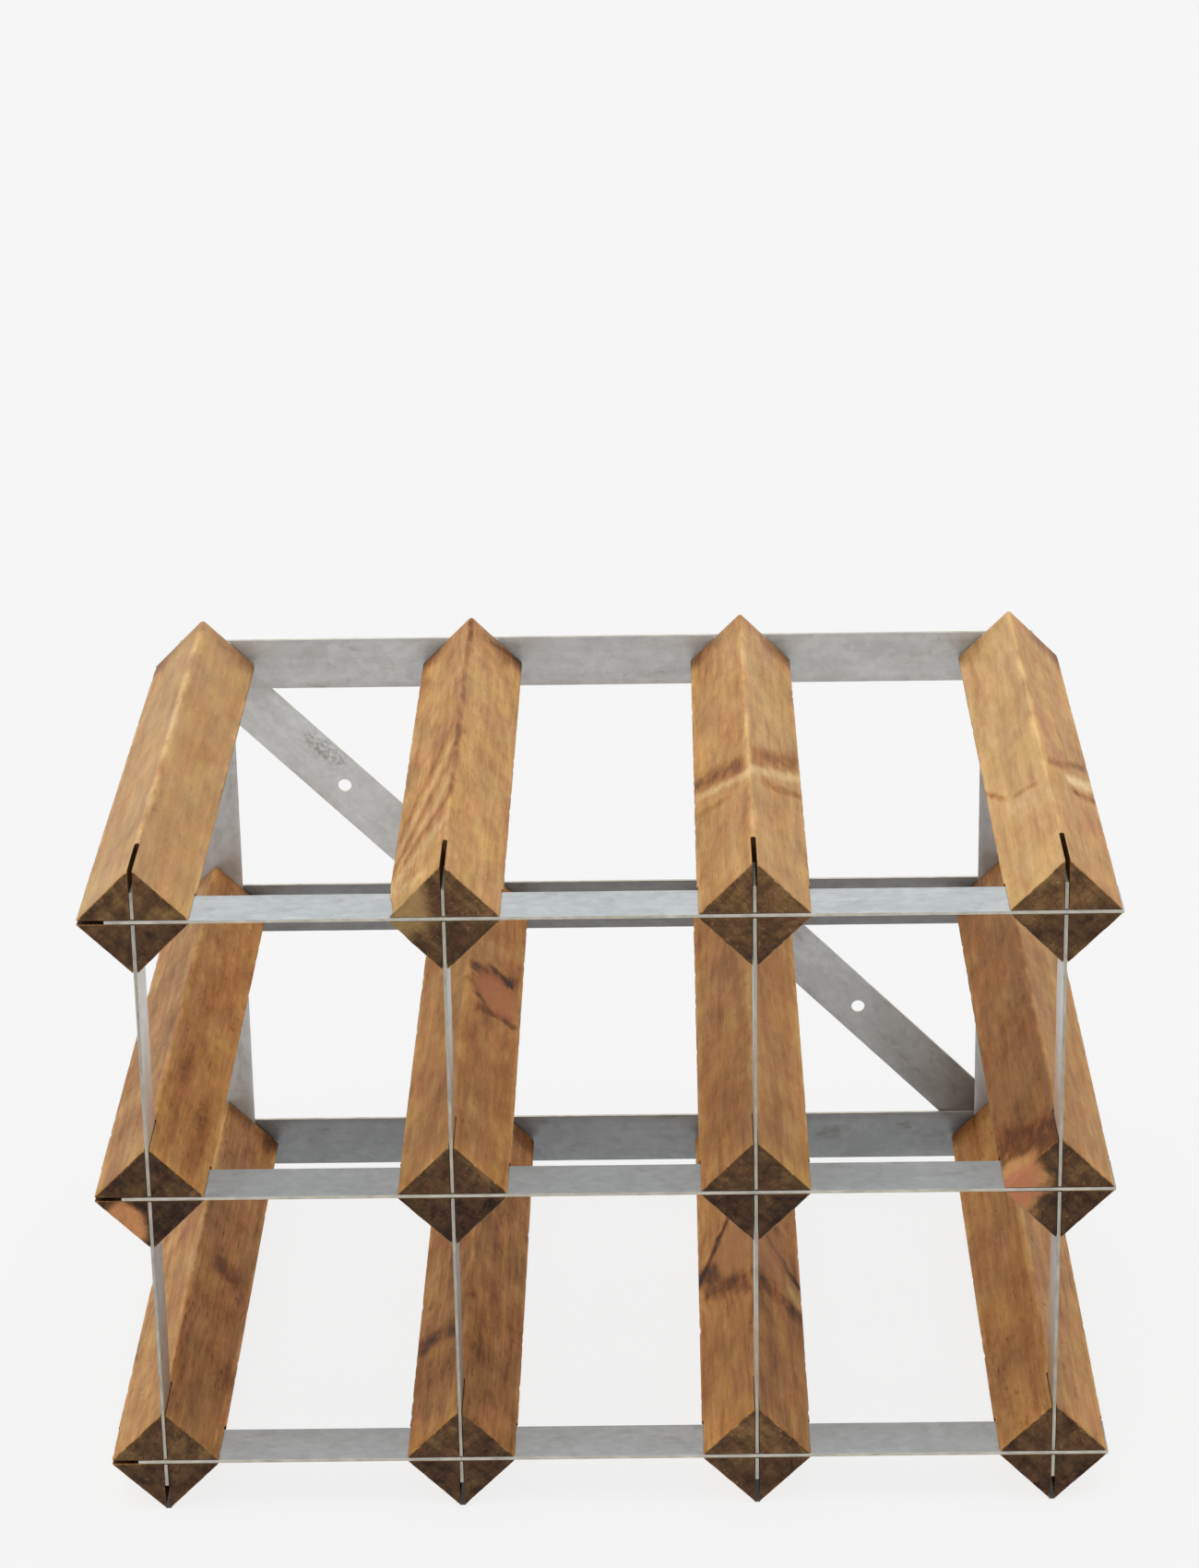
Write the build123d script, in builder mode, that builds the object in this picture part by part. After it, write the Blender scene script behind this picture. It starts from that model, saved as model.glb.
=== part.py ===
"""Wine rack: twelve square posts set on edge in a grid of columns and rows, held apart by steel strip.

X runs across the rack, Y from its front to its back and Z upwards. The origin is the centre of the
footprint, level with the lowest post ridges. All sizes are in millimetres.
"""

import os
from math import sqrt

from build123d import *

os.makedirs("parts", exist_ok=True)

# Grid of posts
PITCH = 98.0
COLUMNS = 4
ROW_NAMES = ("bottom", "middle", "top")

# Posts: square timber standing on one edge, with a cross of saw kerfs in the front end
POST_SIDE = 26.3
POST_LENGTH = 225.0
POST_EDGE_RADIUS = 1.0
KERF_WIDTH = 1.6
KERF_DEPTH = 21.0

# Steel strip, the same stock everywhere
STRIP_WIDTH = 19.0
STRIP_THICKNESS = 1.2
LAP_DEPTH = STRIP_WIDTH / 2
LAP_SLACK = 0.25
RAIL_SLOT = 1.6
UPRIGHT_SLOT = 2.0

# How far the strips run past the centres of the outermost posts
RAIL_START_REACH = 9.0
UPRIGHT_FOOT_REACH = 9.0
UPRIGHT_HEAD_REACH = 10.0
BACK_REACH = 9.0
BRACE_REACH = 9.0

# Wall-fixing holes in the two braces; the lower one is drilled a little off the middle
WALL_HOLE_RADIUS = 2.5
UPPER_HOLE_OFFSET = 0.0
LOWER_HOLE_OFFSET = -7.0

# Nails through the back strips into the end grain
NAIL_RADIUS = 1.25
NAIL_LENGTH = 30.0
NAIL_POINT = 3.0
NAIL_GAP = 0.1
NAIL_TIP_ROOM = 1.0
FLAT_HEAD_RADIUS = 3.0
FLAT_HEAD_THICKNESS = 1.0
FLAT_HEAD_BEVEL = 0.3
SUNK_HEAD_RADIUS = 2.35
SUNK_HEAD_ANGLE = 90.0

# Derived sizes
RIDGE = POST_SIDE / sqrt(2) - POST_EDGE_RADIUS * (sqrt(2) - 1)
DEPTH = POST_LENGTH + 3 * STRIP_THICKNESS
FRONT = -DEPTH / 2
POST_BACK = FRONT + POST_LENGTH
RAIL_BACK = POST_BACK + STRIP_THICKNESS
BRACE_FACE = POST_BACK + 2 * STRIP_THICKNESS
BACK = DEPTH / 2
NAIL_HOLE_RADIUS = NAIL_RADIUS + NAIL_GAP
SUNK_HEAD_DEPTH = SUNK_HEAD_RADIUS - NAIL_RADIUS
COLUMN_X = [(column - (COLUMNS - 1) / 2) * PITCH for column in range(COLUMNS)]
ROW_Z = {row: RIDGE + PITCH * level for level, row in enumerate(ROW_NAMES)}
MIDSPAN_Z = {"upper": (ROW_Z["top"] + ROW_Z["middle"]) / 2, "lower": (ROW_Z["middle"] + ROW_Z["bottom"]) / 2}
BRACE_SPAN = PITCH * sqrt(2)

# Each brace runs down and to the right, from one post to the next one along and below
BRACES = {
    "brace_upper": (COLUMN_X[0] + PITCH / 2, MIDSPAN_Z["upper"], UPPER_HOLE_OFFSET),
    "brace_lower": (COLUMN_X[2] + PITCH / 2, MIDSPAN_Z["lower"], LOWER_HOLE_OFFSET),
}
BRACED_POSTS = [
    (COLUMN_X[0], ROW_Z["top"]),
    (COLUMN_X[1], ROW_Z["middle"]),
    (COLUMN_X[2], ROW_Z["middle"]),
    (COLUMN_X[3], ROW_Z["bottom"]),
]
PLAIN_POSTS = [(x, z) for x in COLUMN_X for z in ROW_Z.values() if (x, z) not in BRACED_POSTS]


def facing_front(y):
    """Upright plane at depth y that faces the front: its x and y are the rack's X and Z."""
    return Plane.XZ.offset(-y)


def save(piece, name):
    """Labels a finished piece and writes it to its own file."""
    piece.label = name
    export_step(piece, f"parts/{name}.step")


def make_post(name, x, z):
    """Square post with a cross of kerfs in its front end and a nail hole in its back end."""
    with BuildPart() as post:
        with BuildSketch(facing_front(FRONT)):
            with Locations((x, z)):
                RectangleRounded(POST_SIDE, POST_SIDE, POST_EDGE_RADIUS, rotation=45)
        extrude(amount=-POST_LENGTH)
        with BuildSketch(facing_front(FRONT)):
            with Locations((x, z)):
                Rectangle(KERF_WIDTH, 2 * POST_SIDE)
                Rectangle(2 * POST_SIDE, KERF_WIDTH)
        extrude(amount=-KERF_DEPTH, mode=Mode.SUBTRACT)
        with BuildSketch(facing_front(POST_BACK)):
            with Locations((x, z)):
                Circle(NAIL_HOLE_RADIUS)
        extrude(amount=NAIL_LENGTH + NAIL_TIP_ROOM, mode=Mode.SUBTRACT)
    save(post.part, name)


def make_front_rail(name, z):
    """Horizontal strip edge-on in the kerfs, slotted from the rear where each upright crosses it."""
    start = COLUMN_X[0] - RAIL_START_REACH
    end = COLUMN_X[-1] + RIDGE
    slot_depth = STRIP_WIDTH - LAP_DEPTH + LAP_SLACK
    with BuildPart() as rail:
        with BuildSketch(Plane.XY.offset(z - STRIP_THICKNESS / 2)):
            with Locations((start, FRONT)):
                Rectangle(end - start, STRIP_WIDTH, align=Align.MIN)
            with Locations(*[(x, FRONT + STRIP_WIDTH) for x in COLUMN_X]):
                Rectangle(RAIL_SLOT, slot_depth, align=(Align.CENTER, Align.MAX), mode=Mode.SUBTRACT)
        extrude(amount=STRIP_THICKNESS)
    save(rail.part, name)


def make_front_upright(name, x):
    """Vertical strip edge-on in the kerfs, slotted from the front to let each rail pass through."""
    foot = ROW_Z["bottom"] - UPRIGHT_FOOT_REACH
    head = ROW_Z["top"] + UPRIGHT_HEAD_REACH
    slot_depth = LAP_DEPTH + LAP_SLACK
    with BuildPart() as upright:
        with BuildSketch(Plane.YZ.offset(x - STRIP_THICKNESS / 2)):
            with Locations((FRONT, foot)):
                Rectangle(STRIP_WIDTH, head - foot, align=Align.MIN)
            with Locations(*[(FRONT, z) for z in ROW_Z.values()]):
                Rectangle(slot_depth, UPRIGHT_SLOT, align=(Align.MIN, Align.CENTER), mode=Mode.SUBTRACT)
        extrude(amount=STRIP_THICKNESS)
    save(upright.part, name)


def make_back_rail(name, z):
    """Horizontal strip lying flat behind the uprights, with a nail hole at every post."""
    length = PITCH * (COLUMNS - 1) + 2 * BACK_REACH
    with BuildPart() as rail:
        with BuildSketch(facing_front(RAIL_BACK)):
            with Locations((0, z)):
                Rectangle(length, STRIP_WIDTH)
            with Locations(*[(x, z) for x in COLUMN_X]):
                Circle(NAIL_HOLE_RADIUS, mode=Mode.SUBTRACT)
        extrude(amount=-STRIP_THICKNESS)
    save(rail.part, name)


def make_back_upright(name, x):
    """Vertical strip lying flat on the back ends of one column of posts."""
    length = PITCH * (len(ROW_Z) - 1) + 2 * BACK_REACH
    with BuildPart() as upright:
        with BuildSketch(facing_front(POST_BACK)):
            with Locations((x, ROW_Z["middle"])):
                Rectangle(STRIP_WIDTH, length)
            with Locations(*[(x, z) for z in ROW_Z.values()]):
                Circle(NAIL_HOLE_RADIUS, mode=Mode.SUBTRACT)
        extrude(amount=-STRIP_THICKNESS)
    save(upright.part, name)


def make_brace(name, x, z, hole_offset):
    """Diagonal strip outside the rails, with a wall-fixing hole and a countersunk nail hole at each end."""
    rear_face = Plane(origin=(x, BACK, z), x_dir=(1, 0, -1), z_dir=(0, 1, 0))
    with BuildPart() as brace:
        with BuildSketch(rear_face):
            Rectangle(BRACE_SPAN + 2 * BRACE_REACH, STRIP_WIDTH)
        extrude(amount=-STRIP_THICKNESS)
        with Locations(rear_face):
            with Locations((hole_offset, 0)):
                Hole(WALL_HOLE_RADIUS)
            with Locations((-BRACE_SPAN / 2, 0), (BRACE_SPAN / 2, 0)):
                CounterSinkHole(
                    NAIL_HOLE_RADIUS,
                    SUNK_HEAD_RADIUS + NAIL_GAP,
                    counter_sink_angle=SUNK_HEAD_ANGLE,
                )
    save(brace.part, name)


def make_nails(name, places, profile):
    """Group of like nails, each turned from the same half profile of (radius, depth) points."""
    with BuildPart() as nails:
        for x, z in places:
            with BuildSketch(Plane.XY.offset(z)):
                with BuildLine():
                    Polyline([(x + radius, y) for radius, y in profile], close=True)
                make_face()
            revolve(axis=Axis((x, 0, z), (0, 1, 0)))
    save(nails.part, name)


for row, z in ROW_Z.items():
    make_front_rail(f"front_rail_{row}", z)
    make_back_rail(f"back_rail_{row}", z)
    for number, x in enumerate(COLUMN_X, start=1):
        make_post(f"post_{row}_{number}", x, z)

for number, x in enumerate(COLUMN_X, start=1):
    make_front_upright(f"front_upright_{number}", x)
    make_back_upright(f"back_upright_{number}", x)

for brace_name, (x, z, hole_offset) in BRACES.items():
    make_brace(brace_name, x, z, hole_offset)

# Flat heads bear on the rails and stay just short of the wall side of the braces
nail_point = BRACE_FACE - NAIL_LENGTH
flat_head_top = BRACE_FACE + FLAT_HEAD_THICKNESS
FLAT_NAIL = [
    (0, nail_point),
    (NAIL_RADIUS, nail_point + NAIL_POINT),
    (NAIL_RADIUS, BRACE_FACE),
    (FLAT_HEAD_RADIUS, BRACE_FACE),
    (FLAT_HEAD_RADIUS, flat_head_top - FLAT_HEAD_BEVEL),
    (FLAT_HEAD_RADIUS - FLAT_HEAD_BEVEL, flat_head_top),
    (0, flat_head_top),
]
make_nails("rail_nails", PLAIN_POSTS, FLAT_NAIL)

# Countersunk heads finish flush with the wall side of the braces
SUNK_NAIL = [
    (0, nail_point),
    (NAIL_RADIUS, nail_point + NAIL_POINT),
    (NAIL_RADIUS, BACK - SUNK_HEAD_DEPTH),
    (SUNK_HEAD_RADIUS, BACK),
    (0, BACK),
]
make_nails("brace_nails", BRACED_POSTS, SUNK_NAIL)
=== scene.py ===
"""Looks of the wine rack: stained pine posts with real saw kerfs, held by galvanised steel strip.

Lengths are in millimetres up to the moment they become vertices. Each strip has its own local frame, so that
its object coordinates run along it. Posts and nails keep the axes of the rack.
"""

from dataclasses import dataclass
from math import cos, pi, radians, sin, sqrt

import bmesh
import bpy
from mathutils import Matrix, Vector, noise


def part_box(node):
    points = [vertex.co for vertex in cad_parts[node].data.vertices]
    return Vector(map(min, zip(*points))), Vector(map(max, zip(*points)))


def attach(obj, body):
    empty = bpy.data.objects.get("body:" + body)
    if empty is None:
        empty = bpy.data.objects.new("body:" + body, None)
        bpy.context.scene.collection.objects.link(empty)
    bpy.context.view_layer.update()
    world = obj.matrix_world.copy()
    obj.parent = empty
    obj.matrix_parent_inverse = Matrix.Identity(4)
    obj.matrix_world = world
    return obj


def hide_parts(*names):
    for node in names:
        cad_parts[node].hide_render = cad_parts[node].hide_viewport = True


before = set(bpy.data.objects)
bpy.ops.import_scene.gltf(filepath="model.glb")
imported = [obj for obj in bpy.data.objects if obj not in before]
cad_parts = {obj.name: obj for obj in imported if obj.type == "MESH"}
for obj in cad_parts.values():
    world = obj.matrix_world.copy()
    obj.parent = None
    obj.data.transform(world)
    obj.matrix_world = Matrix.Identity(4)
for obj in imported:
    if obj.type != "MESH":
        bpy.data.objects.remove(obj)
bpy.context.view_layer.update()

MM = 0.001
ROOT = "root"
ROWS = ("bottom", "middle", "top")
COLUMNS = (1, 2, 3, 4)

# Posts, as in the CAD model
EDGE_RADIUS = 1.0
KERF_WIDTH = 1.6
KERF_DEPTH = 21.0
NAIL_HOLE_RADIUS = 1.35
NAIL_HOLE_DEPTH = 31.0

# Steel strip, as in the CAD model
LAP_SLACK = 0.25
RAIL_SLOT = 1.6
UPRIGHT_SLOT = 2.0
WALL_HOLE_RADIUS = 2.5
WALL_HOLE_OFFSETS = {"brace_upper": 0.0, "brace_lower": -7.0}
BRACE_REACH = 9.0

# Nails, as in the CAD model
NAIL_RADIUS = 1.25
NAIL_POINT = 3.0
FLAT_HEAD_RADIUS = 3.0
FLAT_HEAD_THICKNESS = 1.0
SUNK_HEAD_RADIUS = 2.35
SUNK_CLEARANCE = 0.1
BRACED_POSTS = (("top", 1), ("middle", 2), ("middle", 3), ("bottom", 4))

X = Vector((1, 0, 0))
Y = Vector((0, 1, 0))
Z = Vector((0, 0, 1))


# ---------------------------------------------------------------------------------------------------------
# Shader graphs
# ---------------------------------------------------------------------------------------------------------


def srgb(red, green, blue):
    """Linear colour of an 8-bit display colour."""
    channels = [value / 255 for value in (red, green, blue)]
    return [c / 12.92 if c <= 0.04045 else ((c + 0.055) / 1.055) ** 2.4 for c in channels] + [1.0]


class Value:
    """Output of a node. Sums, products and steps of values add the nodes that work them out."""

    def __init__(self, graph, socket):
        self.graph = graph
        self.socket = socket

    def __add__(self, other):
        return self.graph.math("ADD", self, other)

    def __radd__(self, other):
        return self.graph.math("ADD", other, self)

    def __sub__(self, other):
        return self.graph.math("SUBTRACT", self, other)

    def __rsub__(self, other):
        return self.graph.math("SUBTRACT", other, self)

    def __mul__(self, other):
        return self.graph.math("MULTIPLY", self, other)

    def __abs__(self):
        return self.graph.math("ABSOLUTE", self)

    def line(self, factor, offset, clamp=False):
        """The value times a factor, plus an offset."""
        return self.graph.math("MULTIPLY_ADD", self, factor, offset, clamp=clamp)

    def step(self, start, end):
        """Smooth step from 0 at `start` to 1 at `end`."""
        made = self.graph.node("ShaderNodeMapRange", interpolation_type="SMOOTHSTEP")
        for name, number in (("Value", self), ("From Min", start), ("From Max", end)):
            self.graph.put(made.inputs[name], number)
        return Value(self.graph, made.outputs[0])

    def fade(self, start, end):
        """Smooth step from 1 at `start` to 0 at `end`."""
        return 1.0 - self.step(start, end)


class Graph:
    """Node tree that is written as formulas: each method adds a node and returns its output as a value."""

    def __init__(self, tree):
        self.tree = tree
        self.tree.nodes.clear()

    def node(self, kind, **settings):
        made = self.tree.nodes.new(kind)
        for key, value in settings.items():
            setattr(made, key, value)
        return made

    def put(self, socket, value):
        """Links a value or a node's output to a socket, or sets the socket to a constant."""
        if isinstance(value, Value):
            value = value.socket
        if isinstance(value, bpy.types.NodeSocket):
            self.tree.links.new(value, socket)
        else:
            socket.default_value = value

    def math(self, operation, *values, clamp=False):
        made = self.node("ShaderNodeMath", operation=operation, use_clamp=clamp)
        for socket, value in zip(made.inputs, values):
            self.put(socket, value)
        return Value(self, made.outputs[0])

    def vector(self, operation, *values):
        made = self.node("ShaderNodeVectorMath", operation=operation)
        for socket, value in zip(made.inputs, values):
            self.put(socket, value)
        return Value(self, made.outputs["Value" if operation == "LENGTH" else "Vector"])

    def scaled(self, value, factor):
        made = self.node("ShaderNodeVectorMath", operation="SCALE")
        self.put(made.inputs[0], value)
        made.inputs["Scale"].default_value = factor
        return Value(self, made.outputs["Vector"])

    def split(self, value):
        """X, Y and Z of a vector."""
        made = self.node("ShaderNodeSeparateXYZ")
        self.put(made.inputs[0], value)
        return [Value(self, output) for output in made.outputs]

    def clamp(self, value):
        return self.math("ADD", value, 0.0, clamp=True)

    def noise(self, place, size, detail=2.0, roughness=0.5, shift=0.0):
        """Noise from 0 to 1 whose features are about `size` mm across, given for each axis."""
        scaled = self.vector("DIVIDE", place, size)
        made = self.node("ShaderNodeTexNoise")
        for name, number in (("Scale", 1.0), ("Detail", detail), ("Roughness", roughness)):
            made.inputs[name].default_value = number
        self.put(made.inputs["Vector"], self.vector("ADD", scaled, (shift, 1.7 * shift, -0.9 * shift)))
        return Value(self, made.outputs[0])

    def signed(self, *values, **settings):
        """Noise spread to about -1 to 1."""
        return self.noise(*values, **settings).line(4.0, -2.0)

    def ramp(self, factor, *stops):
        """Colour from (position, colour) stops."""
        made = self.node("ShaderNodeValToRGB")
        elements = made.color_ramp.elements
        while len(elements) < len(stops):
            elements.new(0.5)
        for element, (position, colour) in zip(elements, stops):
            element.position = position
            element.color = colour
        self.put(made.inputs[0], factor)
        return Value(self, made.outputs[0])

    def grey_ramp(self, factor, *stops):
        """Straight lines through (position, value) stops."""
        return self.ramp(factor, *[(position, (value, value, value, 1.0)) for position, value in stops])

    def mix_value(self, factor, first, second):
        made = self.node("ShaderNodeMix", data_type="FLOAT")
        for index, value in ((0, factor), (2, first), (3, second)):
            self.put(made.inputs[index], value)
        return Value(self, made.outputs[0])

    def mix(self, factor, first, second, blend="MIX"):
        made = self.node("ShaderNodeMix", data_type="RGBA", blend_type=blend)
        for index, value in ((0, factor), (6, first), (7, second)):
            self.put(made.inputs[index], value)
        return Value(self, made.outputs[2])

    def darkened(self, colour, level):
        """Colour times a level, which may be above 1."""
        grey = self.node("ShaderNodeCombineColor")
        for socket in grey.inputs[:3]:
            self.put(socket, level)
        return self.mix(1.0, colour, grey.outputs[0], blend="MULTIPLY")

    def turned(self, colour, turn):
        """Colour with its hue turned by a part of the whole circle."""
        made = self.node("ShaderNodeHueSaturation")
        self.put(made.inputs["Hue"], 0.5 + turn)
        self.put(made.inputs["Color"], colour)
        return Value(self, made.outputs[0])

    def bump(self, height, depth, strength=1.0):
        """Bump whose `height`, from 0 to 1, stands for `depth` mm."""
        made = self.node("ShaderNodeBump")
        made.inputs["Strength"].default_value = strength
        made.inputs["Distance"].default_value = depth * MM
        self.put(made.inputs["Height"], height)
        return Value(self, made.outputs[0])

    def shader(self, base, roughness, normal, **constants):
        """Principled surface; the constants are set on its own sockets."""
        made = self.node("ShaderNodeBsdfPrincipled")
        for name, value in (("Base Color", base), ("Roughness", roughness), ("Normal", normal)):
            self.put(made.inputs[name], value)
        for name, value in constants.items():
            made.inputs[name].default_value = value
        output = self.node("ShaderNodeOutputMaterial")
        self.tree.links.new(made.outputs[0], output.inputs["Surface"])
        return made


def new_material(name):
    """Empty material, its graph and its texture coordinates."""
    material = bpy.data.materials.new(name)
    material.use_nodes = True
    graph = Graph(material.node_tree)
    return material, graph, graph.node("ShaderNodeTexCoord")


# ---------------------------------------------------------------------------------------------------------
# Timber
# ---------------------------------------------------------------------------------------------------------


@dataclass
class Knot:
    """Knot in a post: a blob of other colour in the timber, partly outlined."""

    face: str  # centred in the upper left, upper right or lower left face
    across: float  # from the top ridge, or from the bottom ridge for the lower left face
    along: float  # from the front end
    width: float
    length: float
    depth: float = 10.0
    heart: float = 0.6  # how much its inside takes its own colour
    rim: float = 0.2  # how dark its outline is
    tone: tuple = (196, 132, 88)


@dataclass
class Band:
    """Slanting band, where a branch or a spike of grain runs through the post like a blade."""

    along: float  # from the front end, at the top ridge
    back: float  # how far it runs back for each millimetre out from the ridge
    width: float
    strength: float  # how dark it is, or how pale where it is negative
    face: str
    out: tuple = (-3.0, 30.0)  # from and to where it shows, outwards from the ridge


@dataclass
class Timber:
    """What makes one post differ from the next."""

    left: float  # darkness of the stain on the left faces, from 0 to 1, plus painted shade on the lower rows
    right: float
    end: float = 0.62
    pith: tuple = (-40.0, -60.0)
    rings: float = 4.0
    contrast: float = 0.05
    slant: float = 0.02
    grey: tuple = (0.45, 0.45)  # how grey, rather than golden, the left and right faces are
    ridge_paleness: float = 0.14
    figure: float = 1.0  # how lively the grain and the blotches are
    dashes: float = 0.16  # how dark the short dashes in the grain are
    back_end: float = 0.12
    crack: tuple = ()
    knots: tuple = ()
    bands: tuple = ()
    chips: tuple = ()


# The left and right darkness of each post is its stain plus painted shade, deeper on the middle and bottom
# rows
TIMBERS = {
    ("top", 1): Timber(
        0.37, 0.39, end=0.57, grey=(0.85, 0.75), pith=(30, -70), rings=5.0, contrast=0.03, ridge_paleness=0.18,
        figure=0.75,
        bands=(Band(112, 0.5, 18.0, 0.06, "right", out=(4, 20)), Band(8, 0.3, 22.0, -0.05, "left")),
    ),
    ("top", 2): Timber(
        0.41, 0.39, end=0.55, grey=(0.45, 0.5), pith=(-62, 34), rings=5.5, slant=0.09, ridge_paleness=0.04, figure=1.25,
        back_end=0.16, crack=(58, 222),
        bands=(
            Band(40, -0.8, 12.0, -0.18, "left"),
            Band(57, -1.0, 9.0, 0.18, "left", out=(0, 28)),
            Band(74, -1.8, 11.0, -0.13, "left"),
            Band(96, -2.4, 12.0, 0.17, "left", out=(1, 30)),
            Band(114, -2.8, 11.0, -0.12, "left"),
            Band(134, -3.0, 13.0, 0.15, "left", out=(1, 26)),
            Band(168, -2.0, 16.0, 0.06, "left", out=(3, 26)),
            Band(208, 0.0, 34.0, 0.13, "right", out=(-2, 11)),
            Band(212, 0.45, 5.0, 0.18, "right", out=(8, 30)),
            Band(2, 0.5, 12.0, -0.14, "left", out=(8, 30)),
        ),
        knots=(Knot("left", 22.0, -2, 15.0, 12.0, depth=13.0, heart=0.55, rim=0.05, tone=(196, 160, 104)),),
        chips=((1, 5.0, 11.0, 1.3),),
    ),
    ("top", 3): Timber(
        0.43, 0.375, end=0.52, grey=(0.45, 0.75), pith=(46, 52), rings=4.0, ridge_paleness=0.14, back_end=0.16,
        bands=(
            Band(62, 0.6, 6.0, 0.14, "left", out=(9, 28)),
            Band(83, 0.85, 15.0, 0.26, "left", out=(2, 30)),
            Band(73, 0.75, 8.0, -0.22, "left", out=(-3, 26)),
            Band(88, 1.40, 16.0, 0.26, "right", out=(1, 26)),
            Band(69, 0.95, 7.0, 0.20, "right", out=(6, 28)),
            Band(77, 1.25, 8.0, -0.20, "right", out=(-3, 30)),
            Band(130, 0.2, 50.0, -0.04, "right", out=(-3, 18)),
        ),
    ),
    ("top", 4): Timber(
        0.275, 0.40, end=0.53, grey=(0.8, 0.5), pith=(-55, -48), rings=4.5, ridge_paleness=0.12,
        bands=(
            Band(36, 2.3, 6.0, 0.26, "left", out=(17, 30)),
            Band(66, 0.6, 5.0, 0.16, "left", out=(4, 16)),
            Band(60, 0.5, 24.0, -0.08, "left", out=(-3, 20)),
            Band(80, 1.4, 7.0, 0.22, "right", out=(1, 26)),
            Band(63, 0.9, 7.0, 0.30, "right", out=(12, 30)),
            Band(71, 1.1, 9.0, -0.36, "right", out=(10, 30)),
        ),
    ),
    ("middle", 1): Timber(
        0.48, 0.47, end=0.68, grey=(0.35, 0.05), pith=(-50, 46), rings=3.2, figure=1.35, dashes=0.34,
        bands=(
            Band(66, 0.1, 40.0, 0.16, "right", out=(5, 11)),
            Band(30, 0.1, 50.0, 0.18, "right", out=(15, 22)),
            Band(118, 0.2, 50.0, 0.10, "right", out=(7, 13)),
            Band(100, 0.4, 16.0, 0.10, "left", out=(2, 12)),
        ),
        knots=(Knot("under", 13.0, 0, 10.0, 12.0, depth=9.0, heart=0.95, rim=0.1, tone=(214, 148, 96)),),
    ),
    ("middle", 2): Timber(
        0.46, 0.485, end=0.68, grey=(0.3, 0.15), pith=(40, -60), rings=3.6, figure=1.2,
        bands=(
            Band(136, 0.7, 9.0, 0.34, "right", out=(0, 24)),
            Band(106, 0.75, 7.0, 0.30, "right", out=(5, 23)),
            Band(60, 0.1, 70.0, 0.09, "right", out=(15, 24)),
            Band(160, 0.6, 9.0, -0.08, "right"),
        ),
        knots=(Knot("right", 14.0, 131, 12.0, 18.0, depth=14.0, heart=0.8, rim=0.3, tone=(184, 114, 72)),),
    ),
    ("middle", 3): Timber(
        0.50, 0.42, end=0.66, grey=(0.35, 0.25), pith=(58, 50), rings=4.2, figure=1.1,
        bands=(Band(40, 0.2, 50.0, 0.05, "left", out=(8, 24)),),
    ),
    ("middle", 4): Timber(
        0.58, 0.45, end=0.66, grey=(0.45, 0.2), pith=(-48, 58), rings=4.0, figure=1.1,
        knots=(
            Knot("left", 26.0, 2, 19.5, 13.0, depth=15.5, heart=0.95, rim=0.05, tone=(212, 156, 100)),
            Knot("left", 23.5, -2, 13.0, 9.0, depth=13.5, heart=0.75, rim=0.0, tone=(190, 114, 84)),
        ),
        bands=(Band(5, 0.95, 24.0, 0.25, "left", out=(-2, 30)),),
    ),
    ("bottom", 1): Timber(
        0.42, 0.56, end=0.60, grey=(0.15, 0.45), pith=(36, -52), rings=3.2, figure=1.4, dashes=0.3,
        bands=(
            Band(112, 0.0, 12.0, 0.18, "right", out=(8, 22)),
            Band(75, 0.1, 60.0, 0.08, "right", out=(10, 18)),
            Band(128, 0.2, 20.0, 0.12, "left", out=(4, 18)),
        ),
    ),
    ("bottom", 2): Timber(
        0.52, 0.575, end=0.64, grey=(0.15, 0.3), pith=(44, 60), rings=3.4, figure=1.5, dashes=0.26,
        bands=(
            Band(60, 0.35, 13.0, 0.34, "left", out=(4, 30)),
            Band(40, 0.2, 22.0, 0.10, "left", out=(6, 28)),
            Band(78, 0.3, 8.0, 0.22, "right", out=(-3, 4)),
            Band(52, 0.2, 34.0, 0.10, "right", out=(1, 14)),
        ),
    ),
    ("bottom", 3): Timber(
        0.43, 0.565, end=0.57, grey=(0.05, 0.35), pith=(-58, 40), rings=3.8, contrast=0.08, figure=1.2,
        knots=(Knot("right", 2.0, 117, 22.0, 24.0, depth=19.0, heart=0.6, rim=0.06, tone=(182, 126, 86)),),
        bands=(
            Band(86, 0.75, 16.0, 0.34, "left", out=(-1, 24)),
            Band(110, 0.2, 14.0, 0.40, "left", out=(15, 30)),
            Band(160, -1.9, 8.0, 0.44, "left", out=(6, 27)),
            Band(137, -1.15, 5.5, 0.62, "right", out=(4, 30)),
            Band(124, -1.15, 9.0, -0.14, "right", out=(0, 30)),
            Band(90, -0.1, 11.0, 0.26, "right"),
        ),
    ),
    ("bottom", 4): Timber(
        0.47, 0.48, end=0.64, grey=(0.25, 0.15), pith=(52, -44), rings=4.0, figure=1.2, dashes=0.3,
        bands=(Band(60, 0.1, 40.0, 0.06, "left", out=(4, 12)),),
    ),
}

# Stain colours from thin to thick, where the wood looks golden, where it looks grey, and on the end grain
GOLDEN = (
    (0.00, srgb(234, 190, 120)),
    (0.25, srgb(214, 163, 93)),
    (0.50, srgb(178, 122, 62)),
    (0.75, srgb(124, 75, 31)),
    (1.00, srgb(60, 35, 14)),
)
GREYED = (
    (0.00, srgb(224, 194, 144)),
    (0.25, srgb(198, 160, 108)),
    (0.50, srgb(156, 117, 76)),
    (0.75, srgb(109, 76, 42)),
    (1.00, srgb(54, 35, 18)),
)
END_GRAIN = (
    (0.00, srgb(196, 160, 112)),
    (0.30, srgb(146, 110, 70)),
    (0.60, srgb(96, 68, 42)),
    (0.85, srgb(58, 38, 24)),
    (1.00, srgb(34, 22, 15)),
)


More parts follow.
